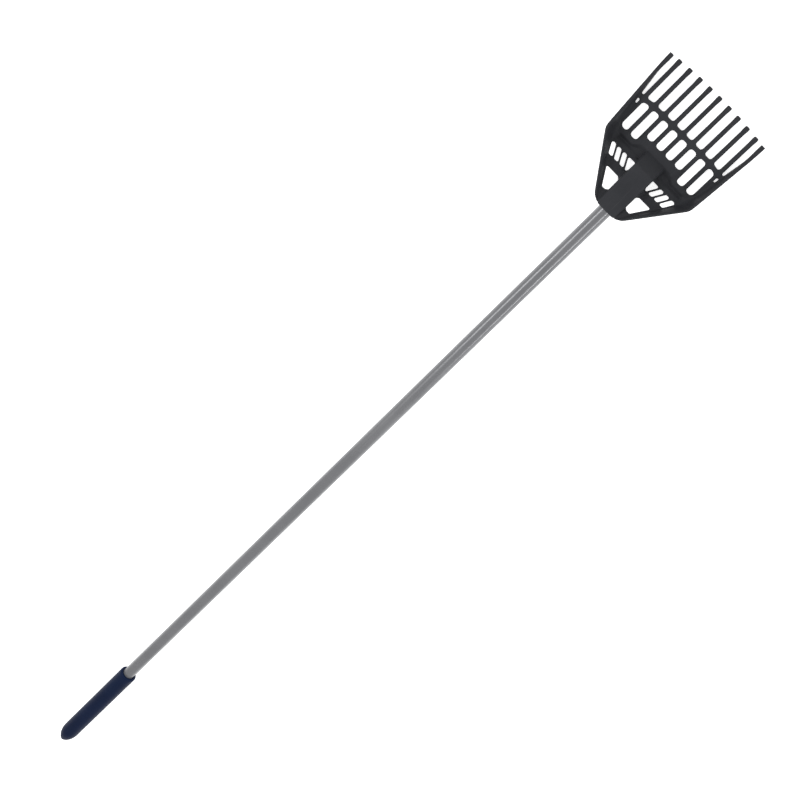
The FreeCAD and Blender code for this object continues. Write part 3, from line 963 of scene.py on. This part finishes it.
    def wall_rails(self) -> list[list[tuple[float, float, float]]]:
        """List the side wall's stations from the tine's tip to the neck.

        Returns:
            For each station its inner foot, outer foot, outer rim and inner rim.
        """
        thick = self.wall
        shoulder_z = -self.shoulder_x * self.rise
        neck_z = -self.neck_x * self.rise
        shoulder_rim = self.shoulder_half + self.shoulder_flare
        inner_tip = self.outer_tine_y - self.outer_tine / 2
        tip = self.tine_tip(5)
        stations = [
            (tip, inner_tip - 0.6, inner_tip + self.outer_tine + 0.6, 0.0,
             inner_tip - 0.6, inner_tip + self.outer_tine + 0.6, self.bar_top - 0.9),
            (tip - 10.0, inner_tip - 0.6, inner_tip + self.outer_tine + 0.3, 0.0,
             inner_tip - 0.6, inner_tip + self.outer_tine + 0.3, self.bar_top - 0.6),
            (self.wall_root_x, self.wall_root_y, self.wall_root_y + self.outer_tine - 0.2, 0.0,
             self.wall_root_y, self.wall_root_y + self.outer_tine - 0.2, self.bar_top),
            (0.0, self.heel_half, self.heel_half + thick, 0.0,
             self.heel_half + self.rim_flare, self.heel_half + self.rim_flare + thick, self.rim_top),
            (self.shoulder_x, self.shoulder_half, self.shoulder_half + thick, shoulder_z,
             shoulder_rim, shoulder_rim + thick, self.rim_top),
            (self.neck_x + 1.6, self.socket_half - 1.2, self.socket_half + thick / 2 - 0.2, neck_z,
             self.socket_half - 1.2, self.socket_half + thick / 2 - 0.2, self.socket_top),
        ]
        return [
            [(x, foot_in, low), (x, foot_out, low), (x, rim_out, high), (x, rim_in, high)]
            for x, foot_in, foot_out, low, rim_in, rim_out, high in stations
        ]

    def side_wall(self, side: Side) -> bpy.types.Object:
        """Make one flared wall with its outer tine, turning its corners in small curves.

        Args:
            side: Which half of the head.

        Returns:
            The wall and the tine as one closed shape.
        """
        rails = self.wall_rails()
        reach = [0.0, 3.0, 9.0, 5.0, 3.0, 0.0]
        sections = [rails[0]]
        for index in range(1, len(rails) - 1):
            before, here, after = (np.array(rails[index + offset]) for offset in (-1, 0, 1))
            back = (before - here) / np.linalg.norm(before.mean(0) - here.mean(0))
            ahead = (after - here) / np.linalg.norm(after.mean(0) - here.mean(0))
            start, finish = here + back * reach[index], here + ahead * reach[index]
            for step in range(5):
                t = step / 4
                ring = start * (1 - t) ** 2 + here * 2 * t * (1 - t) + finish * t ** 2
                sections.append([tuple(row) for row in ring])
        sections.append(rails[-1])
        placed = [lift([(x, side.value * y, z) for x, y, z in ring], self.heel) for ring in sections]
        return loft("wall", placed)

    def socket(self) -> bpy.types.Object:
        """Make the pole housing: a flat top with rounded edges that ramps down to the apron.

        Returns:
            The housing before its bore is cut.
        """
        full = self.socket_half
        stations = [
            (self.neck_x, self.socket_top - 2.0, full - 2.6),
            (self.neck_x + 1.4, self.socket_top - 0.5, full - 0.8),
            (self.neck_x + 4.0, self.socket_top, full),
            (self.ramp_top - 4.0, self.socket_top, full),
            (self.ramp_top, self.socket_top - 1.0, full),
            (self.ramp_front, self.floor_top + 1.0, full),
            (self.ramp_front + 5.0, self.floor_top - 0.6, full),
        ]
        sections = []
        for x, top, half in stations:
            edge = min(self.socket_edge, max(0.4, top / 3))
            ring = [(x, -half, 0.2)]
            ring += [(x, y, z) for y, z in arc((-half + edge, top - edge), edge, 180, 90, 4)]
            ring += [(x, y, z) for y, z in arc((half - edge, top - edge), edge, 90, 0, 4)]
            ring += [(x, half, 0.2)]
            sections.append(lift(ring, self.heel))
        return loft("housing", sections)

    def gussets(self, side: Side) -> list[bpy.types.Object]:
        """Make the small webs that brace the housing's sides on the back's cross rib and on the heel.

        Args:
            side: Which side of the housing.

        Returns:
            The two webs.
        """
        pieces = []
        for x, length, reach in GUSSET_STATIONS:
            base = self.floor_top + max(0.0, -x * self.rise) - 1.0
            inner, outer = self.socket_half - 1.5, self.socket_half + reach
            top = min(self.socket_top - 1.0, base + 11.0)
            ring = [(inner, base), (outer, base), (inner + 2.5, (base + top) / 2), (inner, top)]
            sections = [
                lift([(x + offset, side.value * y, z) for y, z in ring], self.heel)
                for offset in (-length / 2, length / 2)
            ]
            pieces.append(loft("gusset", sections))
        return pieces

    def corner_web(self, side: Side) -> bpy.types.Object:
        """Make the rounded web that fills the corner between the floor, the back and a side wall.

        Args:
            side: Which half of the head.

        Returns:
            The web as one closed shape.
        """
        sections = []
        for x, reach, height in CORNER_STATIONS:
            base = 1.0 + max(0.0, -x * self.rise)
            foot = self.foot(x)
            lean = (height + 4.0) * self.rim_flare / self.rim_top
            ring = [(foot + 1.5, base), (foot - reach, base)]
            for step in range(6):
                t = step / 5
                ring.append((foot - reach * (1 - t) ** 2 + lean * t * t, base + 2.9 + height * t * t))
            ring.append((foot + lean + 1.5, base + 2.9 + height))
            sections.append(lift([(x, side.value * y, z) for y, z in ring], self.heel))
        return loft("web", sections)

    def press_valley(self, piece: bpy.types.Object) -> None:
        """Press the soft valley along the heel's fold into the floor's upper side.

        Args:
            piece: The whole moulding; its vertices are moved in place.
        """
        places = vertices(piece.data)
        x = (places[:, 0] - self.heel) / MM
        y = np.abs(places[:, 1]) / MM
        above = places[:, 2] / MM - np.maximum(0.0, -x * self.rise)
        beside = 1 - ease((y - 24.0) / 12.0)
        across = np.clip(1 - np.abs(x - 0.6 - 4.2 * beside) / (3.7 + 3.3 * beside), 0.0, 1.0)
        inside = ease((y - self.socket_half - 0.2) / 1.6) * ease((58.0 - y) / 6.0)
        skin = ease((above - 0.4) / 2.4) * (1 - ease((above - self.floor_top - 0.8) / 1.0))
        places[:, 2] -= self.valley * MM * across * inside * skin
        move_vertices(piece.data, places)

    def drill(self, piece: bpy.types.Object) -> bpy.types.Object:
        """Bore the housing for the pole.

        Args:
            piece: The whole moulding.

        Returns:
            The moulding with the bore cut.
        """
        start = self.heel + (self.neck_x - 3.0) * MM
        end = self.heel + (self.neck_x + self.bore_depth) * MM
        centre = Vector((0.0, 0.0, self.axis_z))
        radius = self.bore * MM
        tool = lathe("bore", [(start, 0.0), (start, radius), (end, radius), (end, 0.0)], centre)
        cut = piece.modifiers.new("bore", "BOOLEAN")
        cut.operation = "DIFFERENCE"
        cut.object = tool
        piece = settle(piece)
        discard(tool)
        return piece

    def build(self) -> bpy.types.Object:
        """Make the whole head as one moulding.

        Returns:
            The dressed moulding.
        """
        pieces = [self.comb(), self.socket()]
        for side in Side:
            pieces += [self.back_plate(side), self.side_wall(side), self.corner_web(side)]
            pieces += self.gussets(side)
        piece = fuse("scoop_moulding", pieces, self.voxel, 4)
        self.press_valley(piece)
        piece = self.drill(piece)
        dress(piece, MOULDED_BLACK)
        return piece


@dataclass
class Pole:
    """The coated tube."""

    start: float
    end: float
    axis_z: float
    radius: float
    wall: float = 0.0014

    def build(self) -> bpy.types.Object:
        """Make the tube with its thin wall and softened ends.

        Returns:
            The dressed tube.
        """
        soft = 0.0003
        inner = self.radius - self.wall
        profile = [
            (self.start, inner + soft), (self.start, self.radius - soft), (self.start + soft, self.radius),
            *[(self.start + (self.end - self.start) * step / 40, self.radius) for step in range(1, 40)],
            (self.end - soft, self.radius), (self.end, self.radius - soft), (self.end, inner + soft),
            (self.end - soft, inner), (self.start + soft, inner), (self.start, inner + soft),
        ]
        piece = lathe("pole_tube", profile, Vector((0.0, 0.0, self.axis_z)), 128)
        piece.data.shade_smooth()
        dress(piece, TUBE_COAT)
        return piece


@dataclass
class Grip:
    """The dipped vinyl grip with a rolled mouth and a bullet-shaped closed end."""

    start: float
    end: float
    axis_z: float
    radius: float
    bore: float
    nose: float = 0.032
    lip: float = 0.0022

    def build(self) -> bpy.types.Object:
        """Make the grip: a bullet-shaped end, a straight body and a rolled mouth on the tube.

        Returns:
            The dressed grip.
        """
        swing = (self.nose ** 2 + self.radius ** 2) / (2 * self.radius)
        profile: Loop = []
        for step in range(25):
            along = self.nose * (step / 24) ** 1.6
            height = math.sqrt(max(0.0, swing ** 2 - (self.nose - along) ** 2)) - (swing - self.radius)
            profile.append((self.start + along, max(0.0, height) if step else 0.0))
        straight = self.end - self.lip - self.start - self.nose
        profile += [(self.start + self.nose + straight * step / 50, self.radius) for step in range(1, 50)]
        for along, height in arc((self.end - self.lip, self.radius - self.lip), self.lip, 90, 0, 6):
            profile.append((along, height))
        soft, turned_in = 0.0004, 0.012
        profile += [(self.end, self.bore + soft), (self.end - soft, self.bore)]
        profile.append((self.end - turned_in, self.bore))
        piece = lathe("vinyl_grip", profile, Vector((0.0, 0.0, self.axis_z)), 96)
        dress(piece, DIPPED_VINYL)
        return piece


@dataclass
class Studio:
    """The pale floor, the soft lamps and the camera."""

    aim: tuple[float, float, float] = (0.16828, 0.00953, 0.01415)
    distance: float = 1.52424
    tilt: float = 24.2085
    roll: float = 44.3735
    lens: float = 49.5
    white: float = 0.95
    glow: float = 0.70

    def floor(self) -> None:
        """Lay the floor a hair below the tool, so that the two never share a plane."""
        bpy.ops.mesh.primitive_grid_add(
            x_subdivisions=4, y_subdivisions=4, size=16.0, location=(0, 0, -FLOOR_DROP),
        )
        ground = bpy.context.object
        ground.name = "floor"
        paper = PALE_FLOOR.make()
        shader = next(node for node in paper.node_tree.nodes if node.type == "BSDF_PRINCIPLED")
        shader.inputs["Emission Color"].default_value = (1.0, 1.0, 1.0, 1.0)
        shader.inputs["Emission Strength"].default_value = self.glow
        ground.data.materials.append(paper)

    def lamps(self) -> None:
        """Hang the lamps and light the room evenly."""
        for lamp in Lamp:
            place, (width, length), power = lamp.value
            light = bpy.data.lights.new(lamp.name.lower(), "AREA")
            light.shape = "RECTANGLE"
            light.size, light.size_y = width, length
            light.energy = power
            holder = bpy.data.objects.new(lamp.name.lower(), light)
            bpy.context.scene.collection.objects.link(holder)
            holder.location = place
            direction = LAMP_TARGET - Vector(place)
            side = direction.cross(Vector((1, 0, 0))).normalized()
            forward = direction.normalized()
            along = side.cross(forward)
            holder.rotation_euler = matrix_of(side, along * -1, forward * -1).to_euler()
        world = bpy.data.worlds.new("room")
        world.use_nodes = True
        world.node_tree.nodes["Background"].inputs["Color"].default_value = (1.0, 1.0, 1.0, 1.0)
        world.node_tree.nodes["Background"].inputs["Strength"].default_value = self.white
        bpy.context.scene.world = world
        bpy.context.scene.view_settings.view_transform = "Standard"

    def camera(self) -> None:
        """Set the camera above the tips, looking down and back along the pole."""
        tilt, roll = math.radians(self.tilt), math.radians(self.roll)
        ahead = Vector((-math.sin(tilt), 0.0, -math.cos(tilt)))
        along = Vector((math.cos(tilt), 0.0, -math.sin(tilt)))
        across = Vector((0.0, -1.0, 0.0))
        right = along * math.cos(roll) + across * math.sin(roll)
        up = along * math.sin(roll) - across * math.cos(roll)
        data = bpy.data.cameras.new("camera")
        data.lens = self.lens
        data.sensor_width = 36.0
        data.clip_start, data.clip_end = 0.05, 50.0
        holder = bpy.data.objects.new("camera", data)
        bpy.context.scene.collection.objects.link(holder)
        holder.location = Vector(self.aim) - ahead * self.distance
        holder.rotation_euler = matrix_of(right, up, ahead * -1).to_euler()
        bpy.context.scene.camera = holder

    def build(self) -> None:
        """Set up the studio."""
        self.floor()
        self.lamps()
        self.camera()


def matrix_of(right: Vector, up: Vector, back: Vector) -> Matrix:
    """Build the turn whose axes are the three given directions."""
    return Matrix((right, up, back)).transposed()


def report(piece: bpy.types.Object) -> None:
    """Log a finished piece and its face count."""
    LOG.info("%s: %d faces", piece.name, len(piece.data.polygons))


def main() -> None:
    """Build every sub-assembly, dress it and set up the studio."""
    logging.basicConfig(level=logging.INFO, format="%(name)s %(message)s")
    back_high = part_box("back_plate_left")[1]
    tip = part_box("tine_06")[1][0]
    socket_low, socket_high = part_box("socket")
    pole_low, pole_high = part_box("pole")
    grip_low, grip_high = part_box("grip")
    heel = back_high[0]
    axis_z = (pole_low[2] + pole_high[2]) / 2

    head = ScoopHead(
        heel=heel, tip_x=(tip - heel) / MM, neck_x=(socket_low[0] - heel) / MM,
        socket_half=socket_high[1] / MM, axis_z=axis_z,
    ).build()
    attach(head, BODY)
    names = ["crossbar", "floor_pan", "back_plate_left", "back_plate_right"]
    names += ["side_wall_left", "side_wall_right", "socket"]
    names += ["tine_%02d" % number for number in range(1, 12)]
    names += ["rib_%02d" % number for number in range(1, 10)]
    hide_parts(*names)
    report(head)

    pole = Pole(pole_low[0], pole_high[0], axis_z, pole_high[1]).build()
    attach(pole, BODY)
    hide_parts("pole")
    report(pole)

    grip = Grip(grip_low[0], grip_high[0], axis_z, grip_high[1], pole_high[1]).build()
    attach(grip, BODY)
    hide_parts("grip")
    report(grip)

    dress(frame["nodes"]["pole_plug"], PLUG_PLASTIC)
    dress(frame["nodes"]["socket_screw"], ZINC)

    Studio().build()


if __name__ == "__main__":
    main()
